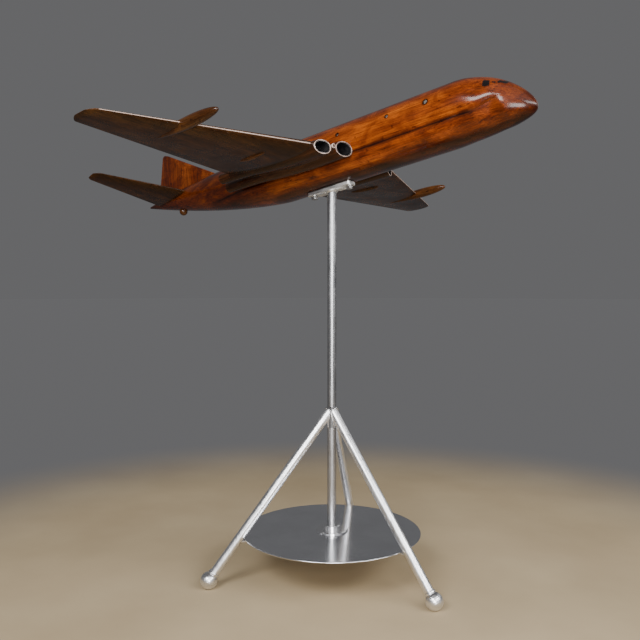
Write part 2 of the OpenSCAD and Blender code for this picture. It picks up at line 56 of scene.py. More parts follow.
# The mast's axis, and the aircraft's own axes: x ahead of the mast, y to port, z above the underside
MAST = Vector((middle("hub_collar").x, middle("hub_collar").y, 0))
PITCH = math.radians(10.1)
BANK = math.radians(3.9)
DATUM_HEIGHT = 1.097
DATUM = MAST + Vector((0, 0, DATUM_HEIGHT))
AIRFRAME = (Matrix.Translation(DATUM) @ Matrix.Rotation(-PITCH, 4, "Y")
            @ Matrix.Rotation(-BANK, 4, "X"))


# ------------------------------------------------------------------ numbers

def mix(a, b, t):
    return a + (b - a) * t


def clamp01(t):
    return min(1.0, max(0.0, t))


def smooth(t):
    t = clamp01(t)
    return t * t * (3 - 2 * t)


def mix_points(p, q, t):
    return tuple(mix(a, b, t) for a, b in zip(p, q))


# ------------------------------------------------------------------ mesh tools

def skin(rings, sharp=(), caps=True):
    """A mesh over rings of points in millimetres; sharp lists the places in a ring that stay edges."""
    bm = bmesh.new()
    rows = [[bm.verts.new(Vector(p) * MM) for p in ring] for ring in rings]
    count = len(rows[0])
    for near, far in zip(rows, rows[1:]):
        for j in range(count):
            k = (j + 1) % count
            bm.faces.new((near[j], near[k], far[k], far[j]))
    if caps:
        bm.faces.new(list(reversed(rows[0])))
        bm.faces.new(rows[-1])
    for near, far in zip(rows, rows[1:]):
        for j in sharp:
            bm.edges.get((near[j], far[j])).smooth = False
    bmesh.ops.remove_doubles(bm, verts=rows[0] + rows[-1], dist=0.01 * MM)
    bmesh.ops.recalc_face_normals(bm, faces=bm.faces)
    mesh = bpy.data.meshes.new("skin")
    for face in bm.faces:
        face.smooth = True
    bm.to_mesh(mesh)
    bm.free()
    return mesh


def turned(profile, count=96):
    """A mesh of revolution about Z from (radius, height) points; an end under 0.01 across closes."""
    rings = []
    for radius, height in profile:
        ring = []
        for j in range(count):
            angle = math.tau * j / count
            ring.append((radius * math.cos(angle), radius * math.sin(angle), height))
        rings.append(ring)
    return skin(rings)


def rounded(corners, size=0.8, steps=4):
    """The profile with each inner corner cut to a round of about that size."""
    out = [corners[0]]
    for before, corner, after in zip(corners, corners[1:], corners[2:]):
        a = Vector(before) - Vector(corner)
        b = Vector(after) - Vector(corner)
        reach = min(size, a.length * 0.45, b.length * 0.45)
        start = Vector(corner) + a.normalized() * reach
        end = Vector(corner) + b.normalized() * reach
        for i in range(steps + 1):
            t = i / steps
            pull = 2 * t * (1 - t) * Vector(corner)
            out.append(tuple((1 - t) ** 2 * start + pull + t * t * end))
    out.append(corners[-1])
    return out


def aim(start, end):
    """Places +Z along the line from start to end, in metres."""
    turn = (Vector(end) - Vector(start)).to_track_quat("Z", "Y").to_matrix().to_4x4()
    return Matrix.Translation(Vector(start)) @ turn


def on_line(front, rear, mesh):
    """The mesh turned so that its +Z runs from front to rear, both in millimetres."""
    mesh.transform(aim(Vector(front) * MM, Vector(rear) * MM))
    return mesh


def joined(*meshes):
    """Several meshes as one, not welded."""
    bm = bmesh.new()
    for mesh in meshes:
        bm.from_mesh(mesh)
    out = bpy.data.meshes.new("joined")
    bm.to_mesh(out)
    bm.free()
    return out


def box_mesh(low, high):
    """A box between two corners in millimetres."""
    bm = bmesh.new()
    bmesh.ops.create_cube(bm, size=1)
    size = Vector(high) - Vector(low)
    centre = (Vector(high) + Vector(low)) / 2
    place = Matrix.Translation(centre * MM) @ Matrix.Diagonal((*(size * MM), 1))
    bmesh.ops.transform(bm, matrix=place, verts=bm.verts)
    mesh = bpy.data.meshes.new("box")
    bm.to_mesh(mesh)
    bm.free()
    return mesh


def mirrored(mesh):
    """A copy of a port mesh for the starboard side."""
    copy = mesh.copy()
    copy.transform(Matrix.Scale(-1, 4, (0, 1, 0)))
    copy.flip_normals()
    return copy


def applied(mesh, *steps):
    """The mesh with modifiers run on it; each step is (type, {settings})."""
    body = bpy.data.objects.new("working", mesh)
    bpy.context.scene.collection.objects.link(body)
    for kind, settings in steps:
        modifier = body.modifiers.new(kind, kind)
        for key, value in settings.items():
            setattr(modifier, key, value)
    bpy.context.view_layer.update()
    graph = bpy.context.evaluated_depsgraph_get()
    done = bpy.data.meshes.new_from_object(body.evaluated_get(graph))
    bpy.data.objects.remove(body)
    return done


def cut(mesh, *tools):
    """The mesh less the tool meshes, all in one frame."""
    held = []
    steps = []
    for tool in tools:
        body = bpy.data.objects.new("tool", tool)
        bpy.context.scene.collection.objects.link(body)
        held.append(body)
        steps.append(("BOOLEAN", {"operation": "DIFFERENCE", "object": body, "solver": "EXACT"}))
    done = applied(mesh, *steps)
    for body in held:
        bpy.data.objects.remove(body)
    return done


def shade(mesh, angle=40):
    """Smooth faces, with edges kept where the surface turns by more than the angle, in degrees."""
    bm = bmesh.new()
    bm.from_mesh(mesh)
    for face in bm.faces:
        face.smooth = True
    for edge in bm.edges:
        if len(edge.link_faces) == 2 and edge.calc_face_angle(0) > math.radians(angle):
            edge.smooth = False
    bm.to_mesh(mesh)
    bm.free()
    return mesh


def piece(name, mesh, material, body, place=None, stands_for=()):
    """A visual piece on a CAD body; stands_for names the CAD nodes that it replaces."""
    if place:
        mesh.transform(place)
    thing = bpy.data.objects.new(name, mesh)
    bpy.context.scene.collection.objects.link(thing)
    mesh.name = name
    mesh.materials.clear()
    mesh.materials.append(material)
    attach(thing, body)
    if stands_for:
        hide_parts(*stands_for)
    return thing


def wooden(name, mesh, material, *stands_for):
    """A piece of the aircraft, its mesh in the aircraft's own axes."""
    return piece(name, mesh, material, AIRCRAFT, AIRFRAME, stands_for)


# ------------------------------------------------------------------ materials

class Nodes:
    """Short ways to add shader nodes. Places are the world's, or with airborne the aircraft's own."""

    def __init__(self, name, airborne=False):
        self.material = bpy.data.materials.new(name)
        self.material.use_nodes = True
        self.tree = self.material.node_tree
        self.shader = self.tree.nodes["Principled BSDF"]
        self.place = self.add("ShaderNodeTexCoord").outputs["Object"]
        if airborne:
            back = AIRFRAME.inverted()
            mapping = self.add("ShaderNodeMapping", Vector=self.place, Rotation=tuple(back.to_euler()),
                               Location=tuple(back.translation))
            self.place = mapping.outputs["Vector"]

    def add(self, kind, settings=None, **inputs):
        node = self.tree.nodes.new(kind)
        for key, value in (settings or {}).items():
            setattr(node, key, value)
        for key, value in inputs.items():
            self.put(node.inputs[key.replace("_", " ")], value)
        return node

    def put(self, socket, value):
        if isinstance(value, bpy.types.NodeSocket):
            self.tree.links.new(value, socket)
        else:
            socket.default_value = value

    def coordinates(self, scale=(1, 1, 1), turn=(0, 0, 0)):
        mapping = self.add("ShaderNodeMapping", Vector=self.place, Rotation=turn, Scale=scale)
        return mapping.outputs["Vector"]

    def axes(self):
        """The place's x, y and z, in metres, as three sockets."""
        return self.add("ShaderNodeSeparateXYZ", Vector=self.place).outputs

    def span(self, value, start, end, top=1.0):
        """0 at start, rising evenly to top at end, which may be the lower of the two."""
        node = self.add("ShaderNodeMapRange", Value=value, From_Min=start, From_Max=end, To_Max=top)
        return node.outputs[0]

    def length(self, **sides):
        """The length of the vector with these sides."""
        vector = self.add("ShaderNodeCombineXYZ", **sides)
        node = self.add("ShaderNodeVectorMath", {"operation": "LENGTH"})
        self.put(node.inputs[0], vector.outputs[0])
        return node.outputs["Value"]

    def from_mast(self):
        """How far a place is from the mast's axis."""
        x, y, _ = self.axes()
        return self.length(X=self.math("SUBTRACT", x, MAST.x), Y=self.math("SUBTRACT", y, MAST.y))

    def largest(self, first, *others):
        for other in others:
            first = self.math("MAXIMUM", first, other)
        return first

    def noise(self, vector, scale=1.0, detail=4.0, roughness=0.5, distortion=0.0):
        node = self.add("ShaderNodeTexNoise", Vector=vector, Scale=scale, Detail=detail,
                        Roughness=roughness, Distortion=distortion)
        return node.outputs["Fac"]

    def ramp(self, value, *stops):
        """Stops are (place, grey or colour)."""
        node = self.add("ShaderNodeValToRGB", Fac=value)
        elements = node.color_ramp.elements
        while len(elements) < len(stops):
            elements.new(0.5)
        for element, (place, colour) in zip(elements, stops):
            element.position = place
            element.color = (*((colour,) * 3 if isinstance(colour, float) else colour), 1)
        return node.outputs["Color"]

    def math(self, operation, a, b=0.0, c=0.0, clamp=False):
        node = self.add("ShaderNodeMath", {"operation": operation, "use_clamp": clamp})
        for socket, value in zip(node.inputs, (a, b, c)):
            self.put(socket, value)
        return node.outputs[0]

    def blend(self, kind, amount, a, b):
        node = self.add("ShaderNodeMix", {"data_type": "RGBA", "blend_type": kind})
        self.put(node.inputs[0], amount)
        self.put(node.inputs[6], a)
        self.put(node.inputs[7], b)
        return node.outputs[2]

    def bump(self, height, strength, distance, under=None):
        node = self.add("ShaderNodeBump", Height=height, Strength=strength, Distance=distance)
        if under:
            self.put(node.inputs["Normal"], under)
        return node.outputs["Normal"]

    def finish(self, **inputs):
        for key, value in inputs.items():
            self.put(self.shader.inputs[key.replace("_", " ")], value)
        return self.material


# Tones that darken the wood by multiplying it, painted shade for the body, its crease and its screws among
# them, then the two that cover it: the cockpit's paint and a painted highlight
CLOUD_TONE = (0.34, 0.2, 0.15, 1)
SPOT_TONE = (0.25, 0.14, 0.1, 1)
BODY_SHADE_TONE = (0.10, 0.07, 0.06, 1)
CREASE_SHADE_TONE = (0.07, 0.04, 0.03, 1)
SCREW_SHADE_TONE = (0.06, 0.04, 0.03, 1)
PAINT_TONE = (0.006, 0.004, 0.004, 1)
EDGE_HIGHLIGHT_TONE = (0.5, 0.38, 0.32, 1)


def hardwood(name, tones, grain=(1, 0, 0), mottle=0.5, coat=0.5, body=False, highlight_front=None):
    """Streaky varnished hardwood, dark to light, its grain along one of the aircraft's axes."""
    n = Nodes(name, airborne=True)

    def grained(along, across, **settings):
        return n.noise(n.coordinates(scale=tuple(along if g else across for g in grain)), **settings)

    dark, middle_tone, light = tones
    wander = n.noise(n.coordinates(), scale=5.0, detail=2.0)
    place = n.add("ShaderNodeVectorMath", {"operation": "MULTIPLY_ADD"})
    n.put(place.inputs[0], n.coordinates(scale=tuple(1.6 if g else 26.0 for g in grain)))
    n.put(place.inputs[1], (1, 1, 1))
    n.put(place.inputs[2], n.add("ShaderNodeCombineXYZ", X=wander, Y=wander, Z=wander).outputs[0])
    streaks = n.noise(place.outputs[0], scale=1.0, detail=7.0, roughness=0.62, distortion=0.4)
    fine = grained(14.0, 420.0, detail=5.0, roughness=0.7)
    pores = n.ramp(grained(30.0, 900.0, detail=2.0), (0.30, 0.0), (0.42, 1.0))
    colour = n.ramp(streaks, (0.30, dark), (0.47, middle_tone), (0.66, light))
    colour = n.blend("SOFT_LIGHT", 0.9, colour, n.ramp(fine, (0.32, 0.12), (0.68, 0.85)))
    colour = n.blend("MULTIPLY", 0.35, colour, pores)
    # Cloudy darker figure, and a few small dark marks
    figure = n.noise(n.coordinates(scale=(0.7, 1.2, 1.2)), scale=17.0, detail=6.0, roughness=0.65,
                     distortion=0.8)
    cloud = n.ramp(figure, (0.44, 1.0), (0.60, 0.0))
    colour = n.blend("MULTIPLY", n.math("MULTIPLY", cloud, mottle), colour, CLOUD_TONE)
    marks = n.noise(n.coordinates(scale=(1, 1.6, 1.6)), scale=60.0, detail=3.0)
    spots = n.ramp(marks, (0.30, 1.0), (0.36, 0.0))
    colour = n.blend("MULTIPLY", n.math("MULTIPLY", spots, 0.7), colour, SPOT_TONE)
    if body:
        # Painted shade under the keel, along the rear body, on the nose and along the crown
        colour = n.blend("MULTIPLY", painted_body_shade(n), colour, BODY_SHADE_TONE)
        # Painted shade along the crease between the lobes
        colour = n.blend("MULTIPLY", painted_crease_shade(n), colour, CREASE_SHADE_TONE)
        # Painted shade in and round the screws' recesses
        colour = n.blend("MULTIPLY", painted_screw_shade(n), colour, SCREW_SHADE_TONE)
        colour = n.blend("MIX", cockpit_mask(n), colour, PAINT_TONE)
    if highlight_front:
        # A painted highlight along the leading edges and the mouths' lips
        colour = n.blend("MIX", painted_edge_highlight(n, highlight_front), colour, EDGE_HIGHLIGHT_TONE)
    gloss = n.ramp(n.noise(n.coordinates(), scale=14.0, detail=5.0), (0.3, 0.2), (0.7, 0.38))
    dents = n.bump(n.noise(n.coordinates(), scale=22.0, detail=3.0), 0.12, 0.004)
    texture = n.bump(pores, 0.06, 0.0004, dents)
    return n.finish(Base_Color=colour, Roughness=gloss, Specular_IOR_Level=0.1, Coat_Weight=coat,
                    Coat_Roughness=0.16, Normal=texture, Coat_Normal=dents)


def band(n, value, low, high, soft):
    """1 between low and high, falling to 0 over soft on each side of both."""
    up = n.span(value, low - soft, low + soft)
    down = n.span(value, high + soft, high - soft)
    return n.math("MULTIPLY", up, down)


def painted_crease_shade(n):
    """Painted shade along the crease between the lobes, of uneven width."""
    x, _, z = n.axes()
    along = band(n, x, CREASE_START * MM, CREASE_END * MM, 0.02)
    uneven = n.noise(n.coordinates(scale=(3, 1, 1)), scale=5.0, detail=3.0)
    reach = n.math("MULTIPLY", uneven, 0.022)
    away = n.math("ABSOLUTE", n.math("SUBTRACT", z, CREASE * BODY_H * MM))
    fade = n.math("SUBTRACT", 1.0, n.math("DIVIDE", away, reach), clamp=True)
    return n.math("MULTIPLY", n.math("POWER", fade, 1.6), along)


def painted_body_shade(n):
    """How much painted shade darkens the body: under the keel, on the rear body, the nose and the crown, in
    uneven patches.
    """
    x, _, z = n.axes()
    # The underside climbs ever faster towards the nose, as in low_line
    past = n.math("SUBTRACT", x, CLIMB_X * MM)
    ahead = n.math("MULTIPLY", past, CLIMB_RATE, clamp=True)
    left = n.math("SUBTRACT", 1.0, n.math("MULTIPLY", ahead, ahead))
    climbed = n.math("SUBTRACT", 1.0, n.math("POWER", left, CLIMB_POWER))
    above = n.math("SUBTRACT", z, n.math("MULTIPLY", climbed, NOSE_Z * MM))
    keel = n.math("MULTIPLY", n.span(above, 0.017, 0.006), n.math("GREATER_THAN", x, -0.2))
    crown = n.span(z, 0.136, 0.156)
    rear = n.span(x, 0.02, -0.34, top=0.85)
    nose = n.span(x, 0.505, 0.590, top=0.72)
    blotches = n.noise(n.coordinates(scale=(0.6, 1, 1)), scale=12.0, detail=5.0)
    patchy = n.ramp(blotches, (0.3, 0.6), (0.7, 1.0))
    return n.math("MULTIPLY", n.largest(keel, rear, nose, crown), patchy)


def painted_edge_highlight(n, front):
    """A painted highlight: a fine pale band ahead of a line swept back with the wings, along edges and
    lips.
    """
    x, y, _ = n.axes()
    lead = n.math("ADD", x, n.math("MULTIPLY", n.math("ABSOLUTE", y), SWEEP))
    return n.span(lead, front - 0.0005, front)


def painted_screw_shade(n):
    """Painted shade down in the recessed screws' holes, fading out a little way round each."""
    x, y, z = n.axes()
    marks = []
    for ahead, _, reach in SCREWS:
        away = n.length(X=n.math("SUBTRACT", x, ahead * MM), Z=n.math("SUBTRACT", z, SCREW_Z * MM))
        marks.append(n.span(away, reach * MM, reach * MM * 0.6))
    return n.math("MULTIPLY", n.largest(*marks), n.math("LESS_THAN", y, 0.0))


# Each pane's start and end along the body, and its low and high edge in a band that slopes, in metres
PANES = ((0.5005, 0.516, 0.2335, 0.2515), (0.5205, 0.529, 0.2425, 0.2475), (0.5325, 0.5515, 0.2435, 0.2535))
PANE_SLOPE = 0.26
PANE_SOFT = 0.001


def cockpit_mask(n):
    """Worn dark paint where the cockpit's windows would be, a row of panes round the brow."""
    x, _, z = n.axes()
    rough = n.math("SUBTRACT", n.noise(n.coordinates(), scale=90.0, detail=4.0), 0.5)
    ragged = n.math("MULTIPLY", rough, 0.012)
    along = n.math("ADD", x, ragged)
    # The band slopes down towards the nose, in step with the brow
    height = n.math("ADD", n.math("ADD", z, n.math("MULTIPLY", x, PANE_SLOPE)), ragged)
    panes = []
    for start, end, low, high in PANES:
        across = band(n, height, low, high, PANE_SOFT)
        panes.append(n.math("MULTIPLY", band(n, along, start, end, PANE_SOFT), across))
    return n.largest(*panes)


def metal(name, colour, rough, grain=(60, 60, 60), scratch=0.3, bump=0.03, turn=(0, 0, 0),
          anisotropic=0.0, axis=None):
    """Polished or satin metal; grain is the stretch of its brush lines in its turned axes."""
    n = Nodes(name)
    lines = n.noise(n.coordinates(scale=grain, turn=turn), detail=6.0, roughness=0.7)
    smears = n.noise(n.coordinates(turn=turn), scale=13.0, detail=5.0, roughness=0.6)
    nicks = n.ramp(n.noise(n.coordinates(turn=turn), scale=240.0, detail=4.0), (0.28, 0.55), (0.4, 1.0))
    shine = n.ramp(lines, (0.3, rough * 0.7), (0.7, rough * 1.5))
    shine = n.blend("ADD", scratch, shine, n.ramp(smears, (0.45, 0.0), (0.8, 0.35)))
    tone = n.blend("MULTIPLY", 0.35, (*colour, 1), n.ramp(smears, (0.3, 0.72), (0.62, 1.0)))
    tone = n.blend("MULTIPLY", 0.2, tone, nicks)
    made = dict(Base_Color=tone, Roughness=shine, Metallic=1.0,
                Normal=n.bump(lines, bump, 0.0005), Anisotropic=anisotropic)
    if axis:
        made["Tangent"] = n.add("ShaderNodeTangent", {"direction_type": "RADIAL", "axis": axis}).outputs[0]
    return n.finish(**made)


def turned_metal(name, colour, rough, pitch=900.0, anisotropic=0.5):
    """Metal faced on a lathe: fine rings round the mast's axis."""
    n = Nodes(name)
    z = n.axes()[2]
    steps = n.add("ShaderNodeCombineXYZ", X=n.math("MULTIPLY", n.from_mast(), pitch), Y=z)
    rings = n.noise(steps.outputs[0], detail=6.0, roughness=0.75)
    smears = n.noise(n.coordinates(), scale=9.0, detail=6.0, roughness=0.62)
    scuffs = n.noise(n.coordinates(scale=(1, 6, 1), turn=(0, 0, 0.6)), scale=30.0, detail=5.0)
    marks = n.ramp(scuffs, (0.27, 0.7), (0.36, 1.0))
    shine = n.ramp(rings, (0.3, rough * 0.75), (0.7, rough * 1.35))
    shine = n.blend("ADD", 0.3, shine, n.ramp(smears, (0.4, 0.0), (0.75, 0.25)))
    tone = n.blend("MULTIPLY", 0.3, (*colour, 1), n.ramp(smears, (0.32, 0.74), (0.66, 1.0)))
    tone = n.blend("MULTIPLY", 0.4, tone, marks)
    around = n.add("ShaderNodeTangent", {"direction_type": "RADIAL", "axis": "Z"}).outputs[0]
    return n.finish(Base_Color=tone, Roughness=shine, Metallic=1.0, Anisotropic=anisotropic, Tangent=around,
                    Normal=n.bump(rings, 0.05, 0.0004))


def lacquer(name):
    """Black paint with fine brush marks."""
    n = Nodes(name)
    brush = n.noise(n.coordinates(scale=(8, 60, 60)), scale=3.0, detail=4.0)
    specks = n.noise(n.coordinates(), scale=60.0, detail=4.0)
    tone = n.ramp(specks, (0.35, (0.004, 0.004, 0.005)), (0.7, (0.02, 0.018, 0.018)))
    return n.finish(Base_Color=tone, Roughness=n.ramp(brush, (0.3, 0.12), (0.7, 0.3)), Coat_Weight=0.7,
                    Coat_Roughness=0.06, Normal=n.bump(brush, 0.15, 0.001))


def plain_wood(name):
    """Bare pale wood for the dowels."""
    n = Nodes(name)
    streaks = n.noise(n.coordinates(scale=(60, 6, 60)), scale=6.0, detail=6.0, roughness=0.6)
    tone = n.ramp(streaks, (0.3, (0.36, 0.22, 0.11)), (0.7, (0.62, 0.43, 0.25)))
    return n.finish(Base_Color=tone, Roughness=n.ramp(streaks, (0.3, 0.5), (0.7, 0.7)),
                    Normal=n.bump(streaks, 0.1, 0.0005))


def nylon(name):
    """Cream plastic for the thrust washer."""
    n = Nodes(name)
    mould = n.noise(n.coordinates(), scale=400.0, detail=4.0)
    tone = n.ramp(mould, (0.3, (0.62, 0.6, 0.52)), (0.7, (0.74, 0.71, 0.63)))
    return n.finish(Base_Color=tone, Roughness=n.ramp(mould, (0.3, 0.4), (0.7, 0.55)),
                    Normal=n.bump(mould, 0.08, 0.0003))


# ------------------------------------------------------------------ fuselage

# The recessed screws: place along the body, depth, and reach of the painted shade round each
SCREWS = ((356, 2, 10.5), (242, 6, 7.5), (85, 7, 7.5))
SCREW_Z = 110
BODY_H = 158
BODY_RATIO = 0.95
NOSE_X, NOSE_Z = 606, 43
TAIL_X = -769
TAIL_DROP, TAIL_RISE = 28.5, 124
# Where the crown and the underside leave the straight, ahead and behind
CROWN_NOSE_X, CROWN_TAIL_X = 418, -400
CLIMB_X, RISE_X = 375, -163
CLIMB_POWER = 0.33
# One over the length of the underside's climb, in metres
CLIMB_RATE = 4.33
# The two lobes, as parts of the section's height or half width
UPPER_C, UPPER_H = 0.557, 0.443
LOWER_C, LOWER_W = 0.278, 0.9
CREASE = 0.33
CREASE_START, CREASE_END = -420, 480
# The lobes melt into one oval from these places on, towards the nose and the tail
OVAL_NOSE_X, OVAL_TAIL_X = 508, -150
# On the nose the crease climbs from here, and the upper lobe hangs fuller from here
CREASE_CLIMB_X, DROOP_X = 452, 440
CREASE_CLIMB, DROOP = 0.26, 0.4
LOWER_STEPS, UPPER_STEPS = 26, 44


def top_line(x):
    """The crown's height at x."""
    nose = (1 - clamp01((x - CROWN_NOSE_X) / (NOSE_X - CROWN_NOSE_X)) ** 1.92) ** 0.725
    drop = clamp01((CROWN_TAIL_X - x) / (CROWN_TAIL_X - TAIL_X)) ** 1.7
    return NOSE_Z + (BODY_H - NOSE_Z) * nose - TAIL_DROP * drop


def low_line(x):
    """The keel's height at x."""
    nose = (1 - clamp01((x - CLIMB_X) / (NOSE_X - CLIMB_X)) ** 2) ** CLIMB_POWER
    return NOSE_Z - NOSE_Z * nose + TAIL_RISE * clamp01((RISE_X - x) / (RISE_X - TAIL_X)) ** 1.455


def section(x):
    """One side of the fuselage's section at x, from keel to crown, as (width, height) points."""
    low, high = low_line(x), top_line(x)
    wide = BODY_RATIO * (high - low) / 2
    fade = smooth(max((x - OVAL_NOSE_X) / 36, (OVAL_TAIL_X - x) / 250))
    start = -math.asin((UPPER_C - CREASE) / UPPER_H)
    # The lower lobe turns in to the crease, but on the nose it still leans out there
    end = mix(math.asin((CREASE - LOWER_C) / LOWER_C), math.radians(-16), smooth((x - CLIMB_X) / 70))
    lip = LOWER_C * (1 + math.sin(end))
    # The crease climbs ever faster as it runs out on the nose
    crease = CREASE + CREASE_CLIMB * clamp01((x - CREASE_CLIMB_X) / 90) ** 1.8
    droop = 1 + DROOP * smooth((x - DROOP_X) / 60)
    out = []
    for i in range(LOWER_STEPS + UPPER_STEPS + 1):
        if i <= LOWER_STEPS:
            a = mix(-math.pi / 2, end, i / LOWER_STEPS)
            w, h = LOWER_W * math.cos(a), LOWER_C + LOWER_C * math.sin(a)
            h *= crease / lip
        else:
            a = mix(start, math.pi / 2, (i - LOWER_STEPS) / UPPER_STEPS)
            w, h = math.cos(a), UPPER_C + UPPER_H * math.sin(a)
            # The upper lobe hangs fuller over the crease towards the nose
            h = mix(crease, 1, max(0.0, (h - CREASE) / (1 - CREASE)) ** droop)
        plain = math.sqrt(max(0.0, 1 - (2 * h - 1) ** 2))
        out.append((wide * mix(w, plain, fade), mix(low, high, h)))
    return out


def body_ring(x):
    """The whole section at x, from keel to crown on the starboard side and back down to port."""
    side = section(x)
    return [(x, -w, z) for w, z in side] + [(x, w, z) for w, z in side[-2:0:-1]]


def spaced(start, end, count, power=1.0):
    """Stations from start towards end, closer together at the start with a power over 1."""
    return [mix(start, end, (i / count) ** power) for i in range(count)]


def fuselage_mesh():
    stations = [TAIL_X + 0.01] + spaced(TAIL_X + 2, -100, 70, 1.2) + spaced(-100, 400, 40)
    stations += [NOSE_X - (NOSE_X - 400) * (1 - i / 90) ** 3 for i in range(90)] + [NOSE_X]
    sharp = (LOWER_STEPS, 2 * (LOWER_STEPS + UPPER_STEPS) - LOWER_STEPS)
    return skin([body_ring(x) for x in stations], sharp)


# ------------------------------------------------------------------ wings

HALF_SPAN = 718
ROOT_Y = 80
JOINT_Y = 190
ROOT_LE, ROOT_TE = (121, 57), (-238, 67)
TIP_LE, TIP_TE = (-93, 76), (-171, 76)
TIP_ROUND = 22
WING_THICKNESS = (0.12, 0.1)
BLUNT = 0.9


def foil(c):
    """Half the thickness of a four-digit section of unit thickness, at a part c of its chord."""
    return 5 * (0.2969 * math.sqrt(c) - 0.126 * c - 0.3516 * c ** 2 + 0.2843 * c ** 3 - 0.1036 * c ** 4)


def foil_ring(le, te, thick, upper=1.1, lower=0.9, steps=72, blunt=BLUNT):
    """(x, z) points round a section between the (x, z) of its two edges; its trailing edge stays blunt."""
    chord = le[0] - te[0]
    out = []
    for i in range(steps):
        a = math.tau * (i + 0.5) / steps
        c = (1 - math.cos(a)) / 2
        side = upper if a < math.pi else -lower
        z = mix(le[1], te[1], c) + thick * foil(c) * side * chord
        out.append((mix(le[0], te[0], c), z + math.copysign(blunt * smooth(c * 1.5), side)))
    return out


def tip_part(place, end, tip):
    """0 until a rounded tip begins, 1 at its end."""
    return clamp01((place - end + tip) / tip)


def wing_ring(y):
    """The wing's section at y, from leading edge round to leading edge."""
    t = (y - ROOT_Y) / (HALF_SPAN - ROOT_Y)
    u = tip_part(y, HALF_SPAN, TIP_ROUND)
    le, te = mix_points(ROOT_LE, TIP_LE, t), mix_points(ROOT_TE, TIP_TE, t)
    le, te = (le[0] - 16 * u ** 2, le[1]), (te[0] + 24 * u ** 2, te[1])
    thick = mix(*WING_THICKNESS, clamp01(t)) * (1 - 0.75 * u ** 3)
    return [(x, y, z) for x, z in foil_ring(le, te, thick, blunt=BLUNT * (1 - 0.8 * u ** 3))]


def tip_stations(start, end, tip, spans, rounds):
    """Stations along a wing that crowd together on its rounded tip."""
    straight = [mix(start, end - tip, i / spans) for i in range(spans)]
    return straight + [end - tip * (1 - math.sin(math.pi / 2 * i / rounds)) for i in range(rounds + 1)]


def wing_mesh():
    stations = tip_stations(JOINT_Y, HALF_SPAN, TIP_ROUND, 60, 14)
    return shade(skin([wing_ring(y) for y in stations]), 50)


# ------------------------------------------------------------------ engines

INNER_FRONT, INNER_REAR = (118, 92.5, 56), (-303, 95, 61)
OUTER_FRONT, OUTER_REAR = (97, 156, 55), (-276, 148, 70)
INNER_SIZE, OUTER_SIZE = (44, 36), (44, 32)
INTAKE_DEPTH = 46
PIPE_R, PIPE_DEPTH = 10.5, 30
# Wood left round a mouth
LIP = 3.6
SWEEP = (ROOT_LE[0] - TIP_LE[0]) / (HALF_SPAN - ROOT_Y)
VOXEL = 1.2


def bulge(mouth, s):
    """A bulge's half width or height at a part s of its length, from its mouth's."""
    return mix(mouth, PIPE_R + 1, smooth((s - 0.2) / 0.8)) + LIP + 4 * math.sin(math.pi * clamp01(s / 0.7))


def bulge_mesh(front, rear, size):
    """An engine's bulge: an oval swept mouth ahead, a round pipe behind."""
    rings = []
    for i in range(61):
        s = i / 60
        centre = mix_points(front, rear, s)
        wide, high = bulge(size[0] / 2, s), bulge(size[1] / 2, s)
        sweep = SWEEP * (1 - smooth(s / 0.5))
        rings.append([(centre[0] - sweep * wide * math.cos(a), centre[1] + wide * math.cos(a),
                       centre[2] + high * math.sin(a)) for a in (math.tau * j / 96 for j in range(96))])
    return skin(rings)


def oval(size, grow, steps=24):
    """(across, up) points round a slot of that width and height, grown outwards."""
    radius, offset = size[1] / 2, (size[0] - size[1]) / 2
    out = []
    for side in (1, -1):
        for i in range(steps + 1):
            a = math.pi * (i / steps - 0.5) + (0 if side > 0 else math.pi)
            out.append((side * offset + (radius + grow) * math.cos(a), (radius + grow) * math.sin(a)))
    return out


def lip_curve(flare):
    """(depth, growth) points down a rounded lip."""
    turns = [math.pi / 2 * i / 8 for i in range(9)]
    return [(flare * (1 - math.cos(a)), flare * (1 - math.sin(a))) for a in turns]


def intake_tool(front, rear, size, flare=1.7):
    """A tool for an oval bore whose rounded lip follows the swept mouth."""
    start = Vector(front)
    way = (Vector(rear) - start).normalized()
    steps = [(-12, flare + 1.2), (-0.05, flare + 0.4)] + lip_curve(flare)
    rings = []
    for depth, grow in steps:
        rings.append([tuple(start + way * (depth + SWEEP * across) + Vector((0, across, up)))
                      for across, up in oval(size, grow)])
    floor = start + way * INTAKE_DEPTH
    rings.append([tuple(floor + Vector((0, across, up))) for across, up in oval(size, 0)])
    return skin(rings)


def bore_tool(front, rear, radius, depth, flare):
    """A tool for a round bore with a rounded lip."""
    curve = [(radius + growth, down) for down, growth in lip_curve(flare)]
    profile = [(0.001, -9), (radius + flare + 0.6, -9), (radius + flare + 0.3, -0.05)] + curve
    return on_line(front, rear, turned(profile + [(radius, depth), (0.001, depth)], 96))


RAM_MOUTH, RAM_R, RAM_WALL = (109.5, 123.5, 61), 4.3, 2


def ram_ring():
    """The rim of the small round intake between the two engines."""
    outer = RAM_R + RAM_WALL
    profile = rounded([(RAM_R, 16), (RAM_R, 0), (outer, 0), (outer, 16)], 0.9)
    x, y, z = RAM_MOUTH
    return on_line(RAM_MOUTH, (x - 1, y, z), turned(profile, 48))


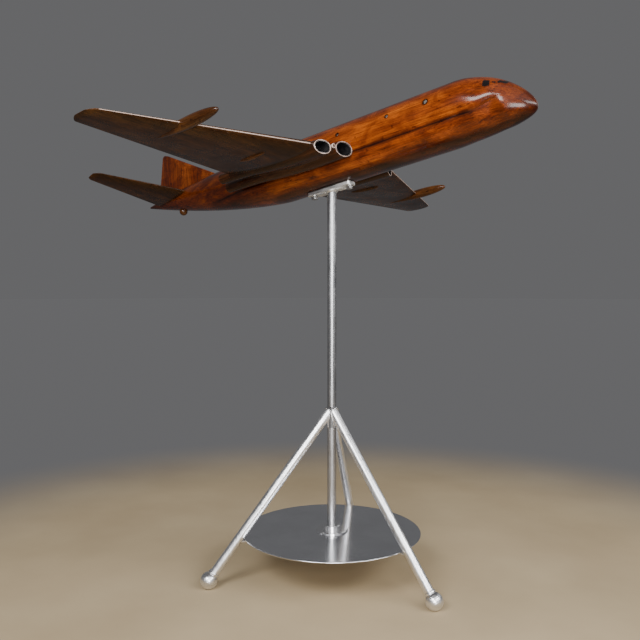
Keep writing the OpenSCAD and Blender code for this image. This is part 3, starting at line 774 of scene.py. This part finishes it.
def block_mesh(body):
    """The wing root and both engine bulges worked into one another, then bored and fitted to the body."""
    root = skin([wing_ring(y) for y in (30, 60, 90, 120, 150, JOINT_Y, JOINT_Y + 40)])
    solids = [root, bulge_mesh(INNER_FRONT, INNER_REAR, INNER_SIZE),
              bulge_mesh(OUTER_FRONT, OUTER_REAR, OUTER_SIZE)]
    bores = [intake_tool(INNER_FRONT, INNER_REAR, INNER_SIZE),
             intake_tool(OUTER_FRONT, OUTER_REAR, OUTER_SIZE),
             bore_tool(INNER_REAR, INNER_FRONT, PIPE_R, PIPE_DEPTH, 1.5),
             bore_tool(OUTER_REAR, OUTER_FRONT, PIPE_R, PIPE_DEPTH, 1.5)]
    x, y, z = RAM_MOUTH
    bores.append(bore_tool((x - 1, y, z), (x - 20, y, z), RAM_R + 1.9, 18, 0.1))
    remesh = {"mode": "VOXEL", "voxel_size": VOXEL * MM, "use_smooth_shade": True}
    blended = applied(joined(*solids), ("REMESH", remesh), ("SMOOTH", {"factor": 0.5, "iterations": 8}))
    beyond_joint = box_mesh((-400, JOINT_Y, -50), (300, JOINT_Y + 90, 200))
    bored = cut(blended, body, beyond_joint, *bores)
    return shade(joined(bored, ram_ring()), 35)


POD_NOSE, POD_TAIL = (84, 511, 69), (-144, 507, 69)
POD_R = 14.5


FAIRING_NOSE, FAIRING_TAIL = (-10, 259, 50), (-110, 249, 56.5)
FAIRING_R = 8


def pod_mesh():
    """A slim turned pod, fullest ahead of its middle."""
    length = (Vector(POD_TAIL) - Vector(POD_NOSE)).length
    profile = []
    for i in range(61):
        s = (i / 60) ** 1.5
        radius = POD_R * max(0.0, math.sin(math.pi * s ** 0.72)) ** 0.62
        profile.append((max(0.001, radius), s * length))
    return on_line(POD_NOSE, POD_TAIL, turned(profile, 64))


def fairing_mesh():
    """A long turned oval under the wing."""
    half = (Vector(FAIRING_TAIL) - Vector(FAIRING_NOSE)).length / 2
    profile = []
    for i in range(41):
        a = math.pi * i / 40
        profile.append((max(0.001, FAIRING_R * math.sin(a)), half * (1 - math.cos(a))))
    return on_line(FAIRING_NOSE, FAIRING_TAIL, turned(profile, 48))


# ------------------------------------------------------------------ tail

TAIL_HALF_SPAN = 298
TAIL_ROOT_Y = 45
TAIL_ROOT_LE, TAIL_ROOT_TE = (-556, 127), (-706, 121)
TAIL_TIP_LE, TAIL_TIP_TE = (-657, 167), (-704, 161)
TAIL_TIP_ROUND = 18
TAIL_THICKNESS = 0.11


def tail_ring(y):
    """The tailplane's section at y."""
    t = (y - TAIL_ROOT_Y) / (TAIL_HALF_SPAN - TAIL_ROOT_Y)
    u = tip_part(y, TAIL_HALF_SPAN, TAIL_TIP_ROUND)
    le, te = mix_points(TAIL_ROOT_LE, TAIL_TIP_LE, t), mix_points(TAIL_ROOT_TE, TAIL_TIP_TE, t)
    le, te = (le[0] - 14 * u ** 2, le[1]), (te[0] + 10 * u ** 2, te[1])
    thick = TAIL_THICKNESS * (1 - 0.75 * u ** 3)
    return [(x, y, z) for x, z in foil_ring(le, te, thick, blunt=0.8 * (1 - 0.8 * u ** 3))]


def tailplane_mesh(body):
    rings = [tail_ring(y) for y in tip_stations(8, TAIL_HALF_SPAN, TAIL_TIP_ROUND, 40, 12)]
    return shade(cut(skin(rings), body), 50)


FIN_FOOT, FIN_ROOT_Z, FIN_TOP = 124, 150, 285
FIN_HEIGHT = 130
FIN_LE, FIN_TE = (-425, -662), (-718, -689)
FIN_THICKNESS = (0.055, 0.14)
FIN_ROUND = 8


def fin_ring(z):
    """The fin's section at the height z."""
    t = (z - FIN_ROOT_Z) / FIN_HEIGHT
    u = tip_part(z, FIN_TOP, FIN_ROUND)
    le = mix(*FIN_LE, t) - 6 * u ** 2
    te = mix(*FIN_TE, t) + 5 * u ** 2
    thick = mix(*FIN_THICKNESS, clamp01(t)) * (1 - 0.6 * u ** 3)
    edge = 0.7 * (1 - 0.8 * u ** 3)
    return [(x, side, z) for x, side in foil_ring((le, 0), (te, 0), thick, 1, 1, blunt=edge)]


def fin_mesh(body):
    rings = [fin_ring(z) for z in tip_stations(FIN_FOOT, FIN_TOP, FIN_ROUND, 40, 10)]
    return shade(cut(skin(rings), body), 50)


# ------------------------------------------------------------------ the aircraft

CHESTNUT = ((0.060, 0.010, 0.001), (0.205, 0.037, 0.003), (0.36, 0.082, 0.006))
# The wings' and tailplanes' tones, then the engine blocks', are far darker than the body's: painted shade
# for their shaded undersides, laid over each whole piece
WING_SHADED_TONES = ((0.013, 0.004, 0.001), (0.040, 0.014, 0.003), (0.080, 0.030, 0.006))
BLOCK_SHADED_TONES = ((0.010, 0.003, 0.001), (0.026, 0.008, 0.002), (0.055, 0.017, 0.004))
POD_TONES = ((0.020, 0.007, 0.002), (0.068, 0.023, 0.004), (0.13, 0.045, 0.008))
FIN_TONES = ((0.036, 0.006, 0.001), (0.11, 0.018, 0.002), (0.21, 0.048, 0.006))
# Where the swept line of the wings' leading edges, and of the mouths, would cross the centre; the painted
# edge highlight starts at each
WING_FRONT = (ROOT_LE[0] + SWEEP * ROOT_Y) * MM
MOUTH_FRONT = (INNER_FRONT[0] + SWEEP * INNER_FRONT[1]) * MM
body_wood = hardwood("body_hardwood", CHESTNUT, mottle=0.65, body=True)
pod_wood = hardwood("pod_hardwood", POD_TONES)
wing_wood = hardwood("wing_hardwood", WING_SHADED_TONES, (0, 1, 0), mottle=0.3, coat=0.2, highlight_front=WING_FRONT)
block_wood = hardwood("block_hardwood", BLOCK_SHADED_TONES, mottle=0.3, coat=0.36, highlight_front=MOUTH_FRONT)
fin_wood = hardwood("fin_hardwood", FIN_TONES, (0, 0, 1), mottle=0.6)
black = lacquer("black_lining")

BUMPER_R, BUMPER_AT = 13, (-608, 0, 76)


def recess_tool(x, depth):
    """A tool for a screw's recess in the starboard flank, its mouth eased."""
    floor = depth + 2.5
    profile = [(0.001, -20), (5.6, -20), (5.4, -0.4), (5.0, 0.6), (5.0, floor), (0.001, floor)]
    return on_line((x, -71.5, SCREW_Z), (x, -60, SCREW_Z), turned(profile, 40))


def bumper_mesh():
    """The ball under the tail on its short peg."""
    angles = [math.radians(mix(-88, 60, i / 30)) for i in range(31)]
    ball = [(BUMPER_R * math.cos(a), BUMPER_R * math.sin(a)) for a in angles]
    knob = turned([(0.001, -BUMPER_R)] + ball + [(4.5, 16), (4.2, 30), (0.001, 30)], 64)
    knob.transform(Matrix.Translation(Vector(BUMPER_AT) * MM))
    return knob


def build_aircraft():
    plain_body = fuselage_mesh()
    recesses = [recess_tool(x, depth) for x, depth, _ in SCREWS]
    seat = box_mesh((-79, -17, -10), (72, 17, 2))
    wooden("fuselage_skin", shade(cut(plain_body.copy(), seat, *recesses), 40), body_wood, "fuselage")
    shapes = {
        "engine_block": (block_mesh(plain_body), block_wood),
        "wing": (wing_mesh(), wing_wood),
        "wing_pod": (pod_mesh(), pod_wood),
        "wing_fairing": (fairing_mesh(), pod_wood),
        "tailplane": (tailplane_mesh(plain_body), wing_wood),
    }
    for name, (mesh, wood) in shapes.items():
        wooden("starboard_" + name + "_skin", mirrored(mesh), wood, "starboard_" + name)
        wooden("port_" + name + "_skin", mesh, wood, "port_" + name)
    wooden("fin_skin", fin_mesh(plain_body), fin_wood, "fin")
    wooden("tail_bumper_skin", bumper_mesh(), pod_wood, "tail_bumper")


# ------------------------------------------------------------------ the stand

BALL_R = 23.5
BALL_Z = 22.7
FOOT_R = 351
APEX_Z = 477
TUBE_R = 12.7
SLEEVE_R = 15.9
# Round the leg where it sits in its ball and ring
SEAT_R = TUBE_R + 0.02
SEAT_LOW, SEAT_HIGH = 11.9, 19.2
MOUTH_HEIGHT = 19.85
LEG_TURNS = {"front": -5.3, "port": 114.7, "starboard": 234.7}


def leg_line(turn):
    """A leg's axis, from its ball's centre to the mast's axis, in metres."""
    a = math.radians(turn)
    foot = MAST + Vector((FOOT_R * math.cos(a), FOOT_R * math.sin(a), BALL_Z)) * MM
    return foot, MAST + Vector((0, 0, APEX_Z * MM))


def ball_mesh(place):
    """A turned ball in its place, bored for the leg, with fine tool grooves and a flat on the floor."""
    profile = [(SEAT_R, SEAT_LOW), (SEAT_R, SEAT_HIGH), (TUBE_R + 0.6, MOUTH_HEIGHT)]
    last = math.asin(MOUTH_HEIGHT / BALL_R)
    for i in range(121):
        a = mix(last, -math.pi / 2 + 0.001, i / 120)
        groove = 0.22 * max(0, math.cos(math.tau * i / 12)) ** 6 * math.cos(a)
        profile.append(((BALL_R - groove) * math.cos(a), (BALL_R - groove) * math.sin(a)))
    mesh = shade(turned(profile, 96), 60)
    mesh.transform(place)
    for vertex in mesh.vertices:
        vertex.co.z = max(vertex.co.z, 0.0)
    return mesh


def neck_mesh():
    """The ring round a leg where it enters its ball."""
    outer = TUBE_R + 2.8
    profile = [(SEAT_R, 19), (TUBE_R + 2.2, 19), (outer, 20.5), (outer, 24), (TUBE_R + 1.6, 26),
               (SEAT_R, 26)]
    return turned(rounded(profile, 0.5), 96)


def bead_mesh(place, other_r, own_r, count=150, size=2.0, ripples=46):
    """A rippled weld bead where a leg of own_r meets the upright sleeve of other_r."""
    way = (place.to_3x3() @ Vector((0, 0, 1))).normalized()
    run = Vector((way.x, way.y))
    rings = []
    for i in range(count):
        a = math.tau * i / count
        # Where this line of the leg's wall meets the sleeve
        start = place @ Vector((own_r * MM * math.cos(a), own_r * MM * math.sin(a), 0))
        flat = Vector((start.x - MAST.x, start.y - MAST.y))
        b = flat.dot(run) / run.length_squared
        c = (flat.length_squared - (other_r * MM) ** 2) / run.length_squared
        hit = start + way * (-b - math.sqrt(max(0, b * b - c)))
        out = (Vector((hit.x, hit.y, 0)) - MAST).normalized()
        off = (place.to_3x3() @ Vector((math.cos(a), math.sin(a), 0))).normalized()
        swell = size * (1 + 0.16 * math.cos(ripples * a) + 0.1 * math.sin(5 * a + 1))
        rings.append([tuple((hit + (out * math.cos(t) + off * math.sin(t)) * swell * MM) / MM)
                      for t in (math.tau * j / 12 for j in range(12))])
    rings.append(rings[0])
    return skin(rings, caps=False)


def leg_turn(turn):
    """Mapping angles that bring a leg's length to Z."""
    foot, top = leg_line(turn)
    return tuple(aim(foot, top).to_3x3().inverted().to_euler())


def dress(materials):
    """Gives CAD nodes their materials, by the nodes' names."""
    for name, material in materials.items():
        nodes[name].data.materials.clear()
        nodes[name].data.materials.append(material)


BRIGHT = (0.86, 0.86, 0.87)
TUBE_FINISH = {"grain": (160, 160, 9), "scratch": 0.35, "bump": 0.02}


def build_stand():
    ball_metal = metal("ball_polish", BRIGHT, 0.27, grain=(5, 5, 300), anisotropic=0.3, axis="Z")
    rough_metal = metal("weld_metal", (0.7, 0.69, 0.68), 0.3, scratch=0.5, bump=0.25)
    for leg, turn in LEG_TURNS.items():
        place = aim(*leg_line(turn))
        dress({"leg_" + leg: metal("tube_polish_" + leg, BRIGHT, 0.3, turn=leg_turn(turn), **TUBE_FINISH)})
        piece("foot_ball_" + leg, ball_mesh(place), ball_metal, STAND,
              stands_for=["foot_" + leg])
        piece("neck_collar_" + leg, neck_mesh(), ball_metal, STAND, place,
              ["neck_ring_" + leg])
        piece("leg_bead_" + leg, bead_mesh(place, SLEEVE_R, TUBE_R), rough_metal, STAND)
    hub = turned_metal("hub_polish", BRIGHT, 0.14, pitch=1500.0, anisotropic=0.3)
    dress({
        "shelf_disc": turned_metal("shelf_facing", (0.87, 0.875, 0.9), 0.13, anisotropic=0.2),
        "hub_flange": hub,
        "hub_collar": hub,
        "apex_sleeve": hub,
        "shelf_tabs": rough_metal,
        # Painted shade: the mast is coloured darker than the legs' same polished metal
        "mast_tube": metal("mast_polish_shaded", (0.48, 0.48, 0.49), 0.3, **TUBE_FINISH),
        "mast_foot_plug": hub,
        "thrust_washer": nylon("washer_nylon"),
    })


def build_bracket():
    plate = metal("bracket_polish", (0.92, 0.92, 0.91), 0.4, grain=(20, 160, 160), scratch=0.6, bump=0.08)
    steel = metal("bolt_steel", (0.62, 0.61, 0.6), 0.25, scratch=0.5, bump=0.06)
    # Old steel, darkened further as painted shade for the screws down in their recesses and the packing
    # plate tucked between bracket plate and fuselage
    dark_steel_and_shade = metal("screw_steel_and_shade", (0.3, 0.27, 0.24), 0.3, scratch=0.6, bump=0.15)
    dress({
        "bracket_plate": plate,
        "bracket_gussets": plate,
        "mast_head_weld": plate,
        "packing_plate": dark_steel_and_shade,
        "flank_screws": dark_steel_and_shade,
        "bracket_washers": steel,
        "bracket_bolts": steel,
        "fuselage_inserts": metal("insert_brass", (0.75, 0.55, 0.25), 0.25),
    })
    dowel = plain_wood("bare_dowel")
    dress({name: dowel for name in nodes if "dowels" in name})
    dress({name: black for name in nodes if "intake" in name or "jet_pipes" in name})


# ------------------------------------------------------------------ studio

WALL = 0.135
FLOOR_TONES = ((0.3, (0.36, 0.277, 0.17)), (0.7, (0.45, 0.355, 0.225)))
# Where the floor begins to sink into the wall's grey, and where it is gone
FLOOR_FADE = (0.95, 1.9)
LIT_HEIGHT = 1.1
# Name, azimuth and height in degrees, distance, width and height, and power
LIGHTS = (
    ("key", -79, 23, 2.8, (1.25, 0.9), 76),
    ("front", -4, 22, 2.9, (3.0, 0.7), 78),
    ("low", -48, -5, 2.7, (0.95, 0.95), 50),
    ("top", -25, 55, 2.9, (3.0, 3.0), 14),
    ("back", 60, 20, 3.0, (2.0, 1.4), 7),
)


def pale_floor():
    """A pale floor that sinks into the plain grey of the room."""
    n = Nodes("pale_floor")
    far = n.add("ShaderNodeMapRange", {"interpolation_type": "SMOOTHSTEP"}, Value=n.from_mast(),
                From_Min=FLOOR_FADE[0], From_Max=FLOOR_FADE[1]).outputs[0]
    pale = n.ramp(n.noise(n.coordinates(), scale=2.0, detail=6.0), *FLOOR_TONES)
    n.finish(Base_Color=n.blend("MIX", far, pale, (0, 0, 0, 1)), Roughness=0.8, Specular_IOR_Level=0.1,
             Emission_Color=(WALL * 0.97, WALL * 0.97, WALL, 1), Emission_Strength=far)
    bm = bmesh.new()
    bmesh.ops.create_circle(bm, cap_ends=True, radius=40, segments=96)
    mesh = bpy.data.meshes.new("floor")
    bm.to_mesh(mesh)
    bm.free()
    floor = bpy.data.objects.new("floor", mesh)
    mesh.materials.append(n.material)
    bpy.context.scene.collection.objects.link(floor)


def grey_room():
    """A plain grey room, brighter on one side behind the camera."""
    world = bpy.data.worlds.new("studio")
    bpy.context.scene.world = world
    world.use_nodes = True
    tree = world.node_tree
    place = tree.nodes.new("ShaderNodeTexCoord")
    facing = tree.nodes.new("ShaderNodeVectorMath")
    facing.operation = "DOT_PRODUCT"
    tree.links.new(place.outputs["Generated"], facing.inputs[0])
    bright_side = math.radians(-38)
    facing.inputs[1].default_value = (math.cos(bright_side), math.sin(bright_side), 0.15)
    ramp = tree.nodes.new("ShaderNodeValToRGB")
    tree.links.new(facing.outputs["Value"], ramp.inputs[0])
    tree.links.new(ramp.outputs[0], tree.nodes["Background"].inputs[0])
    ramp.color_ramp.elements.new(0.5)
    for element, (stop, grey) in zip(ramp.color_ramp.elements, ((0.42, WALL), (0.78, 0.6), (1.0, 0.7))):
        element.position = stop
        element.color = (grey, grey, grey * 1.03, 1)


def lights():
    """Soft boxes round the aircraft, each turned to face it."""
    centre = MAST + Vector((0, 0, LIT_HEIGHT))
    for name, azimuth, height, distance, size, power in LIGHTS:
        a, b = math.radians(azimuth), math.radians(height)
        light = bpy.data.lights.new(name, "AREA")
        light.shape = "RECTANGLE"
        light.size, light.size_y = size
        light.energy = power
        lamp = bpy.data.objects.new(name, light)
        bpy.context.scene.collection.objects.link(lamp)
        way = Vector((math.cos(a) * math.cos(b), math.sin(a) * math.cos(b), math.sin(b)))
        lamp.location = centre + way * distance
        lamp.rotation_euler = (centre - lamp.location).to_track_quat("-Z", "Y").to_euler()


# The camera's lens in millimetres, its place from the mast's foot, and its aim in degrees
LENS, SENSOR = 42.46, 36
EYE = (1.2666, -1.6992, 0.8301)
TILT, TURN = 87.2, 37.6


def camera():
    lens = bpy.data.cameras.new("camera")
    lens.sensor_width = SENSOR
    lens.lens = LENS
    eye = bpy.data.objects.new("camera", lens)
    bpy.context.scene.collection.objects.link(eye)
    eye.location = MAST + Vector(EYE)
    eye.rotation_euler = (math.radians(TILT), 0, math.radians(TURN))
    bpy.context.scene.camera = eye


camera()
pale_floor()
grey_room()
lights()
build_stand()
build_bracket()
build_aircraft()
